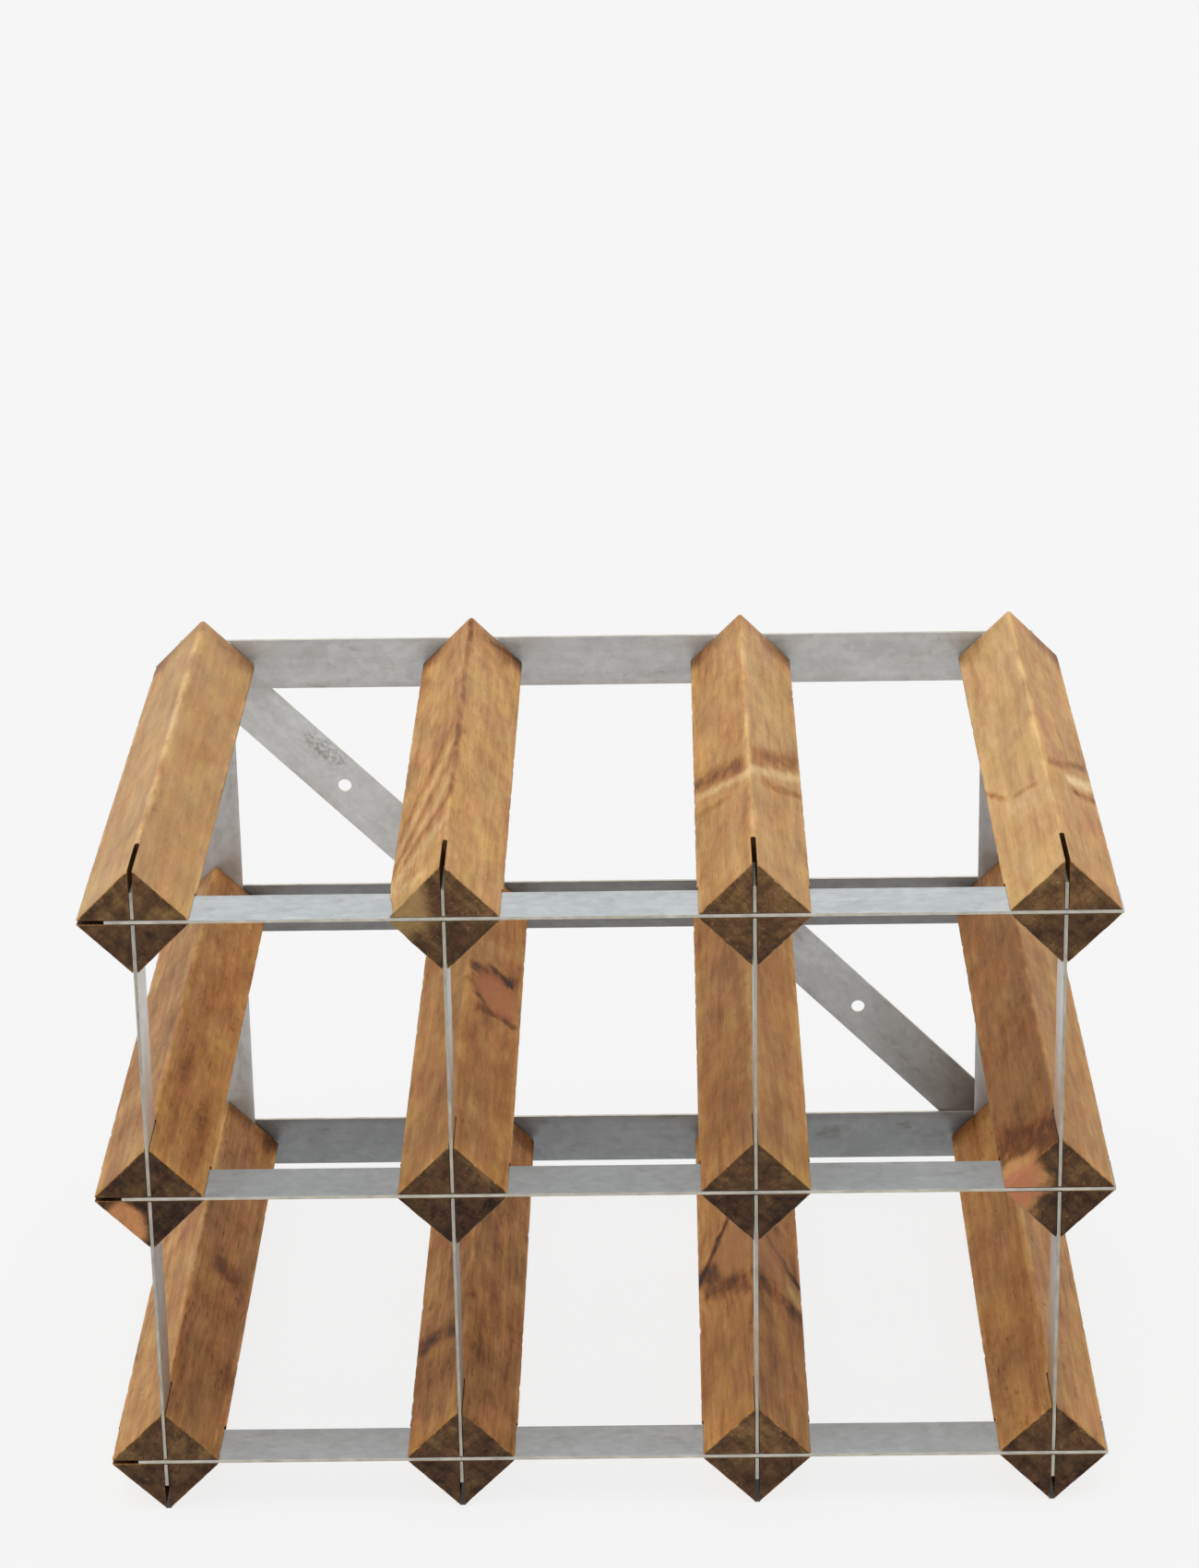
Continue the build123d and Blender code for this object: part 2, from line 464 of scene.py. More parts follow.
def timber_place(graph, where):
    """Place in the timber: (p, s, q) in millimetres, where p and q run out through the upper faces."""
    place = graph.node("ShaderNodeVectorRotate", rotation_type="Y_AXIS")
    graph.put(place.inputs["Vector"], graph.scaled(where.outputs["Object"], 1 / MM))
    place.inputs["Angle"].default_value = radians(45)
    return place.outputs[0]


def knot_marks(graph, knot, place, half, shift):
    """How far inside a knot a place is, how dark the knot makes it, and how far it pushes the rings."""
    out = half - knot.across
    centre_p, centre_q = {"left": (out, half), "right": (half, out), "under": (-half, -out)}[knot.face]
    radii = (knot.depth, knot.length, knot.width)
    if knot.face == "left":
        radii = (knot.width, knot.length, knot.depth)
    away = graph.vector("DIVIDE", graph.vector("SUBTRACT", place, (centre_p, knot.along, centre_q)), radii)
    ragged = graph.signed(place, (8.0, 12.0, 8.0), 4.0, 0.6, shift) * 0.2
    reach = graph.vector("LENGTH", away) + ragged
    outline = reach.step(0.70, 0.94) * reach.fade(0.98, 1.25)
    patchy = graph.noise(place, (9.0, 12.0, 9.0), 3.0, shift=shift + 1.3).step(0.44, 0.62)
    halo = reach.step(1.0, 1.15) * reach.fade(1.15, 1.5)
    dark = outline * patchy * knot.rim + halo * -0.05
    return reach.fade(0.60, 1.0) * knot.heart, dark, reach.fade(0.6, 2.2) * 6.0


def band_marks(graph, band, place, axes, half, sides, shift):
    """How dark a band makes a place."""
    p, s, q = axes
    out = half - (p if band.face == "left" else q)
    swing = min(3.0, 0.3 * band.width)
    wave = graph.signed(place, (7.0, 10.0, 7.0), 4.0, 0.6, shift) * swing
    offset = s + out * -band.back + wave - band.along
    mark = abs(offset).fade(0.05 * band.width, 0.75 * band.width)
    first, last = band.out
    shown = out.step(first - 1.5, first + 2.5) * out.fade(last - 3, last + 1)
    patchy = graph.noise(place, (4.0, 6.0, 4.0), 4.0, 0.6, shift + 2) * 2.0
    return mark * shown * patchy * sides[band.face] * band.strength


def crack_mark(graph, crack, place, axes, shift):
    """Thin dark line that wanders along the top ridge."""
    p, s, q = axes
    start, end = crack
    wander = graph.signed(place, (60.0, 18.0, 60.0), 3.0, shift=shift + 31) * 0.8
    shown = (p + q).step(5.0, 10.0) * s.step(start - 4, start + 4) * s.fade(end - 4, end + 4)
    broken = graph.noise(place, (20.0, 14.0, 20.0), 3.0, shift=shift + 33).step(0.20, 0.55)
    return abs(p - q + wander).fade(0.2, 2.2) * shown * broken * 0.30


def timber_material(name, timber, half, length, seed):
    """Stained pine: rings about a pith outside the post, fibres, knots, pale ridges and dark end grain, with
    painted shade in the kerfs.
    """
    material, graph, where = new_material(name)
    place = timber_place(graph, where)
    p, s, q = axes = graph.split(place)
    endwise = abs(graph.split(where.outputs["Normal"])[1])
    is_end = endwise.step(0.80, 0.95)
    rim = endwise.step(0.25, 0.5) * endwise.fade(0.8, 0.95)
    from_middle = p - q
    height = p + q
    right = from_middle.step(-1.0, 1.0)
    left = 1.0 - right
    sides = {"left": left, "right": right}
    shift = 13.7 * seed

    def rough(size, offset, detail=4.0, roughness=0.5):
        """Noise from about -1 to 1."""
        return graph.signed(place, size, detail, roughness, shift + offset)

    def patches(size, offset, start, end, detail=3.0):
        """Patches of 1 on 0, where noise passes from `start` to `end`."""
        return graph.noise(place, size, detail, shift=shift + offset).step(start, end)

    knots = []
    outlines = 0.0
    push = 0.0
    for number, knot in enumerate(timber.knots):
        inside, dark, pushed = knot_marks(graph, knot, place, half, shift + 3.1 * number)
        knots.append((inside, srgb(*knot.tone)))
        outlines = outlines + dark
        push = push + pushed

    # Growth rings, bent by slow noise and pushed aside by the knots
    pith_p, pith_q = timber.pith
    from_pith = graph.vector("SUBTRACT", place, (pith_p, 0.0, pith_q))
    distance = graph.vector("LENGTH", graph.vector("MULTIPLY", from_pith, (1.0, 0.0, 1.0)))
    drift = rough((20.0, 70.0, 20.0), 0) * 3.5
    turns = (distance + s * timber.slant + drift + push) * (1 / timber.rings)
    late = graph.grey_ramp(graph.math("FRACT", turns), (0.0, 0.1), (0.35, 0.15), (0.78, 1.0), (1.0, 0.0))
    ring = late * patches((6.0, 40.0, 6.0), 5, 0.36, 0.66)

    # Fibres and the blotches of the stain
    fine = rough((0.6, 14.0, 0.6), 0, roughness=0.65)
    streak = rough((2.2, 36.0, 2.2), 2, roughness=0.62)
    broad = rough((5.0, 60.0, 5.0), 6, detail=3.0)
    blotch = rough((9.0, 20.0, 9.0), 7, roughness=0.6)
    smudge = rough((2.8, 7.0, 2.8), 8, detail=5.0, roughness=0.7)
    dash = patches((1.3, 5.0, 1.3), 9, 0.56, 0.72, detail=4.0)
    dashed = dash * patches((8.0, 20.0, 8.0), 11, 0.44, 0.60, detail=2.0)
    glint = patches((0.9, 4.0, 0.9), 13, 0.64, 0.74, detail=2.0)

    bands = 0.0
    for number, band in enumerate(timber.bands):
        bands = bands + band_marks(graph, band, place, axes, half, sides, shift + 4.3 * number)

    # Ridges are paler, unevenly
    from_ridge = 2 * half - (abs(p) + abs(q))
    pale_ridge = from_ridge.fade(0.6, 3.4) * patches((4.0, 16.0, 4.0), 17, 0.38, 0.62, detail=4.0) * -timber.ridge_paleness

    # Darker towards the back end, where the steel lies against it, most of it towards the outer ridges
    outwards = abs(from_middle).step(6, 24).line(0.8, 0.2)
    darker_back_end = (s + blotch * 3.0).step(length - 20, length - 3) * outwards * (2.2 * timber.back_end)

    # The kerfs are dark inside with painted shade
    from_kerf = graph.math("MINIMUM", *[abs(offset * (1 / sqrt(2))) for offset in (from_middle, height)])
    half_kerf = KERF_WIDTH / 2
    kerf = from_kerf.fade(half_kerf, half_kerf + 0.1) * s.fade(KERF_DEPTH - 0.6, KERF_DEPTH + 0.4)
    painted_kerf_shade = kerf * s.step(0.3, 1.2) * 0.45

    dark = (
        # stain of each face, with painted shade in it on the middle and bottom rows
        left * timber.left
        + right * timber.right
        + (ring - 0.25) * (2 * timber.contrast)
        + fine * (0.05 * timber.figure)
        + streak * (0.062 * timber.figure)
        + broad * (0.06 * timber.figure)
        + blotch * (0.10 * timber.figure)
        + smudge * (0.045 * timber.figure)
        + dashed * (0.6 * timber.dashes)
        + glint * -0.07
        + bands
        + outlines
        + pale_ridge
        + darker_back_end
        # painted shade inside the kerfs
        + painted_kerf_shade
    )
    if timber.crack:
        dark = dark + crack_mark(graph, timber.crack, place, axes, shift)

    hue = rough((8.0, 34.0, 8.0), 21)
    redness = rough((7.0, 24.0, 7.0), 25)
    greyness = graph.clamp(left * timber.grey[0] + right * timber.grey[1] + hue * 0.35 + bands * -2.5)
    side = graph.mix(greyness, graph.ramp(dark, *GOLDEN), graph.ramp(dark, *GREYED))
    side = graph.turned(side, redness * -0.011)

    # End grain drinks more stain, and shows the saw; painted shade darkens its lower half
    saw = rough((9.0, 4.0, 1.0), 0, detail=3.0)
    pores = rough((0.6, 0.7, 1.2), 1, roughness=0.7)
    cloud = rough((3.5, 6.0, 9.0), 4, roughness=0.6)
    dark_end = (
        timber.end
        + (ring - 0.25) * 0.12
        # painted shade: the lower half of each end is darker
        + height.fade(-2.5, 0.5) * 0.11
        + saw * 0.05
        + pores * 0.065
        + cloud * 0.17
        + rough((12.0, 12.0, 5.0), 6, detail=3.0) * 0.12
        + abs(rough((7.0, 8.0, 7.0), 8)).fade(0.0, 0.12) * 0.10
        + patches((1.3, 1.3, 1.3), 12, 0.62, 0.72) * -0.19
        # painted highlight along the rim of each end, in patches
        + rim * patches((2.5, 2.5, 2.5), 15, 0.50, 0.62) * -0.40
        # painted shade inside the kerfs, where their floor is end grain
        + painted_kerf_shade * 0.33
    )
    end = graph.turned(graph.ramp(dark_end, *END_GRAIN), redness * -0.014)
    base = graph.mix(endwise.step(0.45, 0.8), side, end)
    mottled = (streak + blotch + pores).line(-0.16, 0.92, clamp=True)
    for inside, tone in knots:
        base = graph.mix(inside * mottled, base, tone)

    height_side = fine * 0.22 + ring * -0.4 + streak * 0.15 + 0.5
    height_end = saw * 0.3 + pores * 0.35 + cloud * 0.2 + 0.5
    normal = graph.bump(graph.mix_value(is_end, height_side, height_end), 0.14, strength=0.9)
    roughness = 0.58 + fine * 0.05 + is_end * 0.25 + ring * -0.05
    graph.shader(base, roughness, normal, **{"Specular IOR Level": 0.25})
    return material


# A post is drawn lying square, with x and z through its faces, and then turned on edge
FACE_COUNT = 4
FACE_STEPS = 20  # across a face
CAP_STEPS = 6  # from the edge of an end to its middle
ROW_STEP = 2.6
KERF_ROWS = (0.0, 2.5, 5.0, 8.0, 11.0, 14.0, 17.0, 19.5, KERF_DEPTH)
RIDGE_ANGLES = (15, 45, 75)
BACK_CHAMFER = 0.5


def face_point(face, out, along, s):
    """Point `out` from the axis of the post and `along` its face, at `s` from the front end."""
    angle = face * pi / 2
    return Vector((out * cos(angle) - along * sin(angle), s, out * sin(angle) + along * cos(angle)))


def ridge_points(ridge, half, s):
    """Rounded edge between one face and the next."""
    centre = half - EDGE_RADIUS
    corners = [(EDGE_RADIUS * cos(radians(turn)), EDGE_RADIUS * sin(radians(turn))) for turn in RIDGE_ANGLES]
    return [face_point(ridge, centre + out, centre + along, s) for out, along in corners]


def fraction(step):
    """How far across a face a step is, from -1 to 1."""
    return 2 * step / FACE_STEPS - 1


def post_mesh(name, half, length, seed, chips):
    """Post with four prongs between its kerfs, broken edges, rough caps and a nail hole in the back end."""
    mesh = bmesh.new()
    gap = KERF_WIDTH / 2 * sqrt(2)
    reach = half - gap
    steps = range(FACE_STEPS + 1)

    def random(*key):
        return noise.noise(Vector(key) * 1.37 + Vector((seed * 5.1, 0.3, 0.7)))

    def bevel_at(face, step):
        return 0.45 + 0.22 * random(face * 9.0, step * 0.45, 2.0)

    def dented(point, face):
        """Moves a point of the skin in, for the waviness of the plane and the dents along the ridges."""
        across = Vector((point.x, 0, point.z))
        inward = -across.normalized()
        depth = 0.05 + 0.05 * random(point.x / 14, point.y / 30, point.z / 14)
        from_ridge = max(0.0, 2 * half - abs(point.x) - abs(point.z))
        knock = max(0.0, random(point.y / 5, face * 3.3, 4.0) - 0.22) * 1.1
        depth += knock * max(0.0, 1 - from_ridge / 2.5)
        for ridge, along, size, deep in chips:
            tip = face_point(ridge, half, half, along)
            near = max(0.0, 1 - ((point - tip) / size).length_squared)
            depth += deep * near * (1 + 0.5 * random(point.y / 3, point.x / 3, 6.0))
        return point + inward * depth

    def skin(face, out, along, s):
        return mesh.verts.new(dented(face_point(face, out, along, s), face))

    # Rows of the skin, from the chamfer at the front to the one at the back
    solid = length - KERF_DEPTH - 1.0
    solid_count = round(solid / ROW_STEP)
    columns = []  # the vertices of the skin, for each face, step and kerf row
    fronts = []  # the vertices around each front cap, for each face and step
    for face in range(FACE_COUNT):
        column = []
        for step in steps:
            bevel = bevel_at(face, step)
            column.append([skin(face, half, fraction(step) * reach, row or bevel) for row in KERF_ROWS])
        columns.append(column)
        front = []
        for step in steps:
            out = half - bevel_at(face, step)
            start = face_point(face, out, fraction(step) * (out - gap), 0)
            front.append(mesh.verts.new(start + Vector((0, 0.06 + 0.05 * random(start.x, start.z, 1.0), 0))))
        fronts.append(front)

    def cap_vertex(face, step, part):
        out_edge = half - bevel_at(face, step)
        along = fraction(step) * (out_edge - gap)
        out = out_edge + (abs(along) + gap - out_edge) * part / CAP_STEPS
        point = face_point(face, out, along, 0)
        fuzz = 0.06 * random(point.x / 1.5, point.z / 1.5, 8.0)
        warp = 0.05 * random(point.x / 6, point.z / 6, 3.0)
        return mesh.verts.new(point + Vector((0, 0.08 + fuzz + warp, 0)))

    faces = []
    legs = []  # the inner ends of the kerf walls, for each face

    def add_squares(rows, step):
        """Squares between two steps, all the way down some rows of vertices."""
        for upper, lower in zip(rows, rows[1:]):
            faces.append([upper[step], upper[step + 1], lower[step + 1], lower[step]])
    for face in range(FACE_COUNT):
        front = fronts[face]
        column = columns[face]
        grid = [front]
        for part in range(1, CAP_STEPS + 1):
            row = [front[0]]
            row += [cap_vertex(face, step, part) for step in range(1, FACE_STEPS)]
            row.append(front[-1])
            grid.append(row)
        wall = [grid[-1]]
        for index, kerf_row in enumerate(KERF_ROWS):
            row = [column[0][index]]
            for step in range(1, FACE_STEPS):
                along = fraction(step) * reach
                s = kerf_row or bevel_at(face, step)
                row.append(mesh.verts.new(face_point(face, abs(along) + gap, along, s)))
            row.append(column[-1][index])
            wall.append(row)
        legs.append(wall[-1])
        for step in range(FACE_STEPS):
            near, far = column[step], column[step + 1]
            faces.append([front[step], near[0], far[0], front[step + 1]])
            for row in range(len(KERF_ROWS) - 1):
                faces.append([near[row], near[row + 1], far[row + 1], far[row]])
            add_squares(grid, step)
            add_squares(wall, step)

    # Floor of the kerfs, and the first whole ring
    def ridge_vertices(ridge, s):
        return [mesh.verts.new(dented(point, ridge)) for point in ridge_points(ridge, half, s)]

    middle = FACE_STEPS // 2
    faces.append([legs[face][middle] for face in range(FACE_COUNT)])
    ring = []
    for face in range(FACE_COUNT):
        following = (face + 1) % FACE_COUNT
        for step in range(middle):
            near = [legs[face][middle + step], legs[face][middle + step + 1]]
            far = [legs[following][middle - step - 1], legs[following][middle - step]]
            faces.append(near + far)
        edge = ridge_vertices(face, KERF_DEPTH)
        faces.append([columns[face][-1][-1], *edge, columns[following][0][-1]])
        ring += [columns[face][step][-1] for step in steps] + edge

    def next_ring(s):
        made = []
        for face in range(FACE_COUNT):
            made += [skin(face, half, fraction(step) * reach, s) for step in steps]
            made += ridge_vertices(face, s)
        return made

    def join(first, second):
        count = len(first)
        for index in range(count):
            after = (index + 1) % count
            faces.append([first[index], second[index], second[after], first[after]])

    for row in range(1, solid_count + 1):
        following_ring = next_ring(KERF_DEPTH + solid * row / solid_count)
        join(ring, following_ring)
        ring = following_ring

    # Back end: chamfer, cap and nail hole
    outline = [vertex.co.copy() for vertex in ring]
    for part in range(CAP_STEPS + 1):
        share = part / CAP_STEPS
        made = []
        for corner in outline:
            flat = Vector((corner.x, 0, corner.z))
            edge = flat * (1 - BACK_CHAMFER / half)
            hole = flat.normalized() * NAIL_HOLE_RADIUS
            point = edge.lerp(hole, share)
            point.y = length - 0.04 - 0.04 * random(point.x / 2, point.z / 2, 5.0)
            made.append(mesh.verts.new(point))
        join(ring, made)
        ring = made
    for s in (length - NAIL_HOLE_DEPTH / 2, length - NAIL_HOLE_DEPTH):
        made = [mesh.verts.new(Vector((vertex.co.x, s, vertex.co.z))) for vertex in ring]
        join(ring, made)
        ring = made
    bottom = mesh.verts.new(Vector((0, length - NAIL_HOLE_DEPTH, 0)))
    for index in range(len(ring)):
        faces.append([ring[index], bottom, ring[(index + 1) % len(ring)]])

    for corners in faces:
        unique = list(dict.fromkeys(corners))
        if len(unique) > 2:
            mesh.faces.new(unique)
    bmesh.ops.rotate(mesh, matrix=Matrix.Rotation(radians(-45), 3, "Y"), verts=mesh.verts)
    return to_mesh(name, mesh, smooth_below=50)


def add_object(name, data):
    made = bpy.data.objects.new(name, data)
    bpy.context.scene.collection.objects.link(made)
    return made


def to_mesh(name, mesh, smooth_below):
    """Finishes a bmesh drawn in millimetres: metres, outward normals and sharp edges."""
    bmesh.ops.scale(mesh, vec=(MM,) * 3, verts=mesh.verts)
    bmesh.ops.recalc_face_normals(mesh, faces=mesh.faces)
    for face in mesh.faces:
        face.smooth = True
    made = bpy.data.meshes.new(name)
    mesh.to_mesh(made)
    mesh.free()
    made.set_sharp_from_angle(angle=radians(smooth_below))
    return made


def place_piece(name, mesh, node, material, location, axes):
    """Adds a finished piece whose local axes are `axes`, in place of a CAD node."""
    piece = add_object(name, mesh)
    rotation = Matrix([list(axis) for axis in axes]).transposed()
    piece.matrix_world = Matrix.Translation(location) @ rotation.to_4x4()
    mesh.materials.append(material)
    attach(piece, ROOT)
    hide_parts(node)


def make_posts():
    for row_number, row in enumerate(ROWS):
        for column in COLUMNS:
            node = f"post_{row}_{column}"
            low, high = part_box(node)
            size = (high - low) / MM
            half = (size.x / 2 + EDGE_RADIUS * (sqrt(2) - 1)) / sqrt(2)
            timber = TIMBERS[row, column]
            seed = row_number * len(COLUMNS) + column
            mesh = post_mesh(f"pine_{node}", half, size.y, seed, timber.chips)
            material = timber_material(f"stained_pine_{row}_{column}", timber, half, size.y, seed)
            centre = (low + high) / 2
            location = Vector((centre.x, low.y, centre.z))
            place_piece(f"pine_{node}", mesh, node, material, location, (X, Y, Z))


# ---------------------------------------------------------------------------------------------------------
# Steel
# ---------------------------------------------------------------------------------------------------------


@dataclass
class Finish:
    """What makes one strip differ from the next, painted light and shade among it."""

    painted_light_level: float = 1.0  # painted on the zinc of its front or upper side: light above 1, shade below 1
    facing: int = 1  # on which of its own sides that is; the other side gets it halfway
    edge: float = 0.85  # brightness of its cut edges
    grime: float = 0.0
    painted_shade_far_end: float = 0.0  # painted shade, darker and warmer towards its far end
    pitted: tuple = ()  # centre and half sizes of a pitted patch
    metallic: float = 0.5
    painted_timber_reflection: float = 0.0  # painted reflection of the timber: how brown it is just above each post
    painted_foot_shade: float = 0.0  # painted shade and painted timber reflection: how much darker and browner its lower half is


ZINC = srgb(181, 187, 190)
STAINED_AND_SHADED_ZINC = srgb(184, 174, 158)
PAINTED_TIMBER_REFLECTION = srgb(152, 122, 92)
CUT_EDGE = srgb(214, 208, 192)


def steel_material(name, seed, finish):
    """Galvanised strip: faint spangle, rolling marks, small stains, bright cut edges, and painted light and
    shade.
    """
    material, graph, where = new_material(name)
    place = graph.scaled(where.outputs["Object"], 1 / MM)
    along = graph.split(place)[0]
    facing = graph.split(where.outputs["Normal"])[2]
    shift = 5.3 * seed

    def patches(size, offset, start, end, detail=2.0, roughness=0.5):
        """Patches of 1 on 0, where noise passes from `start` to `end`."""
        return graph.noise(place, size, detail, roughness, shift + offset).step(start, end)

    crystals = graph.node("ShaderNodeTexVoronoi", feature="SMOOTH_F1")
    crystals.inputs["Scale"].default_value = 1.0
    crystals.inputs["Smoothness"].default_value = 0.4
    shifted = graph.vector("ADD", place, (shift, 0.0, 0.0))
    graph.put(crystals.inputs["Vector"], graph.vector("DIVIDE", shifted, (3.4, 2.6, 3.0)))
    spangle = graph.node("ShaderNodeSeparateColor")
    graph.put(spangle.inputs[0], crystals.outputs["Color"])
    bright, dull = (graph.math("SUBTRACT", spangle.outputs[channel], 0.5) for channel in (0, 1))
    cloud = graph.signed(place, (24.0, 9.0, 9.0), 4.0, shift=shift)
    mottle = graph.signed(place, (4.0, 2.5, 2.5), 4.0, 0.65, shift + 3)
    rolled = graph.signed(place, (60.0, 0.6, 0.6), 3.0, shift=shift + 5)
    stains = patches((16.0, 6.0, 6.0), 12, 0.56, 0.75, detail=4.0, roughness=0.65)
    light = (
        1.0
        + bright * 0.14
        + cloud * 0.08
        + mottle * 0.075
        + rolled * 0.03
        + patches((1.4, 1.0, 1.0), 9, 0.68, 0.76) * -0.25
        + patches((1.0, 0.8, 0.8), 10, 0.70, 0.78) * 0.18
        + stains * (-0.12 - finish.grime)
    )
    if finish.pitted:
        x, y, half_length, half_width = finish.pitted
        off_centre = graph.vector("SUBTRACT", place, (x, y, 0.0))
        off = graph.vector("DIVIDE", off_centre, (half_length, half_width, 50.0))
        patch = (graph.vector("LENGTH", off) + mottle * 0.3).fade(0.5, 1.1)
        pits = graph.noise(place, (1.6, 1.2, 1.2), 4.0, 0.7, shift + 19)
        light = light + patch * pits.line(1.9, -1.05)
    # Painted light and shade set per strip: full on its shown side, halfway on the other
    shown = (facing * finish.facing).step(-0.3, 0.3)
    light = light * graph.mix_value(shown, (1.0 + finish.painted_light_level) / 2, finish.painted_light_level)
    stain_and_shade_warmth = stains * 0.3
    # Painted shade, darker and warmer towards the far end of the strip
    if finish.painted_shade_far_end:
        far = along.step(-45, 65)
        light = light * far.line(-finish.painted_shade_far_end, 1.0)
        stain_and_shade_warmth = stain_and_shade_warmth + far * 0.45
    zinc = graph.mix(stain_and_shade_warmth, ZINC, STAINED_AND_SHADED_ZINC)
    # Painted reflection of the timber just above each post, and painted shade and reflection over the lower
    # half
    if finish.painted_timber_reflection:
        low, middle, _ = row_places()
        above_post = graph.math("FRACT", along * (MM / (middle - low)))
        lower_half = along.fade(-25, 5) * finish.painted_foot_shade
        reflection_and_foot_shade = graph.clamp(above_post.fade(0.24, 0.72) * finish.painted_timber_reflection + lower_half)
        zinc = graph.mix(reflection_and_foot_shade, zinc, PAINTED_TIMBER_REFLECTION)
        light = light * (1.0 - lower_half)
    filed = graph.noise(place, (5.0, 5.0, 2.0), 4.0, 0.6, shift + 23).line(1.1, 0.45) * finish.edge
    is_edge = abs(facing).fade(0.3, 0.85)
    base = graph.mix(is_edge, graph.darkened(zinc, light), graph.darkened(CUT_EDGE, filed))
    roughness = 0.46 + dull * 0.10 + mottle * 0.04 + stains * 0.12
    normal = graph.bump(cloud * 0.5 + mottle * 0.25 + rolled * 0.12 + 0.5, 0.05, strength=0.6)
    graph.shader(base, roughness, normal, **{"Metallic": finish.metallic})
    return material


# Millimetres, for the meshes of the strips
GRID_STEP = 3.0
BROKEN_EDGE = 0.14
SAG = 0.03
RAGGED_EDGE = 0.05
EDGE_ZONE = 0.6
CUTTER_OVERRUN = 0.2


def breaks(start, end, *cuts):
    """Grid lines from `start` to `end`, with lines at the cuts and others about a grid step apart."""
    fixed = sorted({start, end, *[cut for cut in cuts if start < cut < end]})
    lines = [start]
    for first, last in zip(fixed, fixed[1:]):
        count = max(1, round((last - first) / GRID_STEP))
        lines += [first + (last - first) * step / count for step in range(1, count + 1)]
    return lines


def plate_mesh(name, size, seed, slots=(), holes=()):
    """Strip centred on its own frame, length along x, width along y: slots are boxes cut from one long side.

    slots: (lowest x, highest x, lowest y, highest y). holes: (x, y, radius at +z, radius at -z).
    """
    length, width, thickness = size
    across = [value for slot in slots for value in slot[:2]]
    down = [value for slot in slots for value in slot[2:]]
    xs = breaks(-length / 2, length / 2, *across)
    ys = breaks(-width / 2, width / 2, *down)

    def filled(i, j):
        if not (0 <= i < len(xs) - 1 and 0 <= j < len(ys) - 1):
            return False
        x = (xs[i] + xs[i + 1]) / 2
        y = (ys[j] + ys[j + 1]) / 2
        return not any(slot[0] < x < slot[1] and slot[2] < y < slot[3] for slot in slots)

    mesh = bmesh.new()
    vertices = {}

    def vertex(i, j, top):
        if (i, j, top) not in vertices:
            z = thickness / 2 if top else -thickness / 2
            vertices[i, j, top] = mesh.verts.new((xs[i], ys[j], z))
        return vertices[i, j, top]

    # The way to the neighbour across each side of a square, and the corners at the ends of that side
    sides = (
        ((-1, 0), (0, 0), (0, 1)),
        ((1, 0), (1, 1), (1, 0)),
        ((0, -1), (1, 0), (0, 0)),
        ((0, 1), (0, 1), (1, 1)),
    )
    for i in range(len(xs) - 1):
        for j in range(len(ys) - 1):
            if not filled(i, j):
                continue
            square = [(i, j), (i + 1, j), (i + 1, j + 1), (i, j + 1)]
            mesh.faces.new([vertex(a, b, True) for a, b in square])
            mesh.faces.new([vertex(a, b, False) for a, b in reversed(square)])
            for (di, dj), first, second in sides:
                if not filled(i + di, j + dj):
                    a = (i + first[0], j + first[1])
                    b = (i + second[0], j + second[1])
                    mesh.faces.new([vertex(*a, True), vertex(*a, False), vertex(*b, False), vertex(*b, True)])
    bmesh.ops.recalc_face_normals(mesh, faces=mesh.faces)
    bmesh.ops.scale(mesh, vec=(MM,) * 3, verts=mesh.verts)
    plain = bpy.data.meshes.new(name)
    mesh.to_mesh(plain)
    mesh.free()
    piece = add_object("strip_in_work", plain)
    cutters = [hole_cutter(*hole, thickness) for hole in holes]
    for cutter in cutters:
        cut = piece.modifiers.new("hole", "BOOLEAN")
        cut.object = cutter
        cut.solver = "EXACT"
    bevel = piece.modifiers.new("broken_edges", "BEVEL")
    bevel.width = BROKEN_EDGE * MM
    bevel.segments = 2
    bevel.limit_method = "ANGLE"
    bevel.angle_limit = radians(35)
    bevel.use_clamp_overlap = True
    bpy.context.view_layer.update()
    evaluated = piece.evaluated_get(bpy.context.evaluated_depsgraph_get())
    finished = bpy.data.meshes.new_from_object(evaluated)
    finished.name = name
    for spare in (piece, *cutters):
        bpy.data.objects.remove(spare)
    work = bmesh.new()
    work.from_mesh(finished)
    for vert in work.verts:
        x, y, z = (value / MM for value in vert.co)
        sag = SAG * (1 + noise.noise(Vector((x / 17 + seed * 3.1, y / 11, 0.5))))
        ragged = RAGGED_EDGE * (1 + noise.noise(Vector((x / 4, y / 4 + seed, 2.5))))
        near_edge = max(0.0, 1 - (width / 2 - abs(y)) / EDGE_ZONE)
        z_moved = z - sag * (1 if z > 0 else -1)
        y_moved = y - ragged * near_edge * (1 if y > 0 else -1)
        vert.co = Vector((x, y_moved, z_moved)) * MM
    for face in work.faces:
        face.smooth = True
    work.to_mesh(finished)
    work.free()
    finished.materials.clear()
    finished.set_sharp_from_angle(angle=radians(50))
    return finished


def hole_cutter(x, y, top_radius, bottom_radius, thickness):
    """Turned cutter that runs a little past both faces of a strip."""
    mesh = bmesh.new()
    past = CUTTER_OVERRUN
    taper = (top_radius - bottom_radius) / thickness
    bmesh.ops.create_cone(
        mesh,
        cap_ends=True,
        segments=48,
        radius1=(bottom_radius - taper * past) * MM,
        radius2=(top_radius + taper * past) * MM,
        depth=(thickness + 2 * past) * MM,
        matrix=Matrix.Translation((x * MM, y * MM, 0)),
    )
    made = bpy.data.meshes.new("cutter")
    mesh.to_mesh(made)
    mesh.free()
    return add_object("cutter", made)


def box_centre(node):
    low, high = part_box(node)
    return (low + high) / 2


def column_places():
    """Centre x of each column of posts."""
    return [box_centre(f"post_top_{column}").x for column in COLUMNS]


def row_places():
    """Centre z of each row of posts."""
    return [box_centre(f"post_{row}_1").z for row in ROWS]


